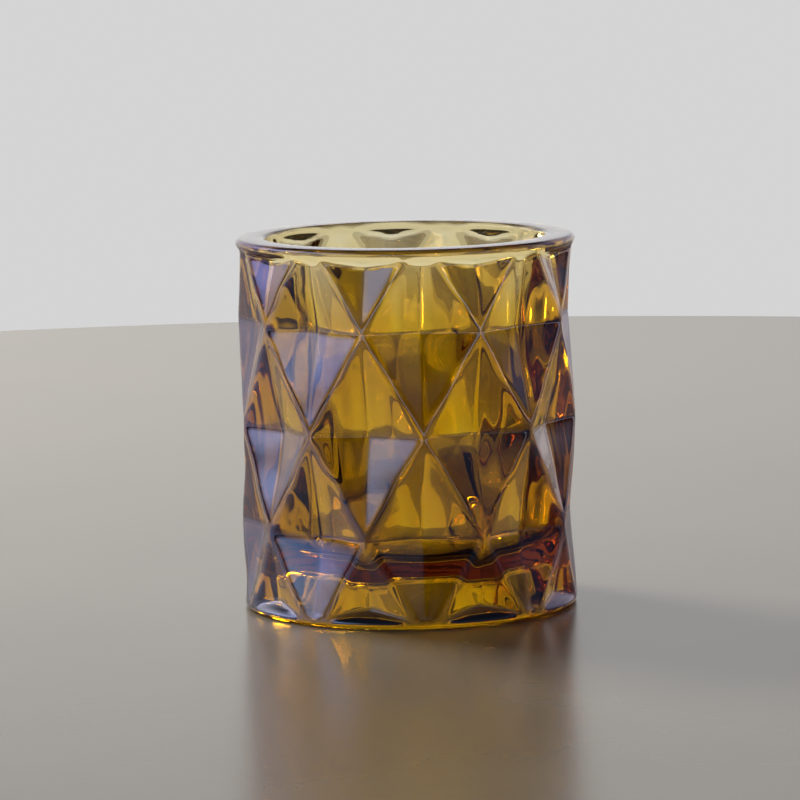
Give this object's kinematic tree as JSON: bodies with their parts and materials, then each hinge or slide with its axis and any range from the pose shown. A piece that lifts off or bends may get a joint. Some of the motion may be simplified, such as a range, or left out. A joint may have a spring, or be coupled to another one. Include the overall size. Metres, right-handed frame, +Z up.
{
  "type": "tealight holder",
  "caption": "Round pressed-glass tealight holder with a raised floor over a hollow foot, a smooth open well and an outer wall of sunk diamonds between slanting ridges.",
  "frame": {"origin": "middle of the underside, on the surface that the holder stands on", "axes": "+Z up along the axis of the well and out of its mouth; -Y through a point where the ridges of the middle row cross"},
  "size_m": [0.0756, 0.076, 0.083],
  "materials": {
    "amber_glass": "fire-polished pressed glass, amber, with a thin grey-blue lustre on the outside"
  },
  "bodies": {
    "root": {"glass_body": "amber_glass"}
  },
  "joints": []
}
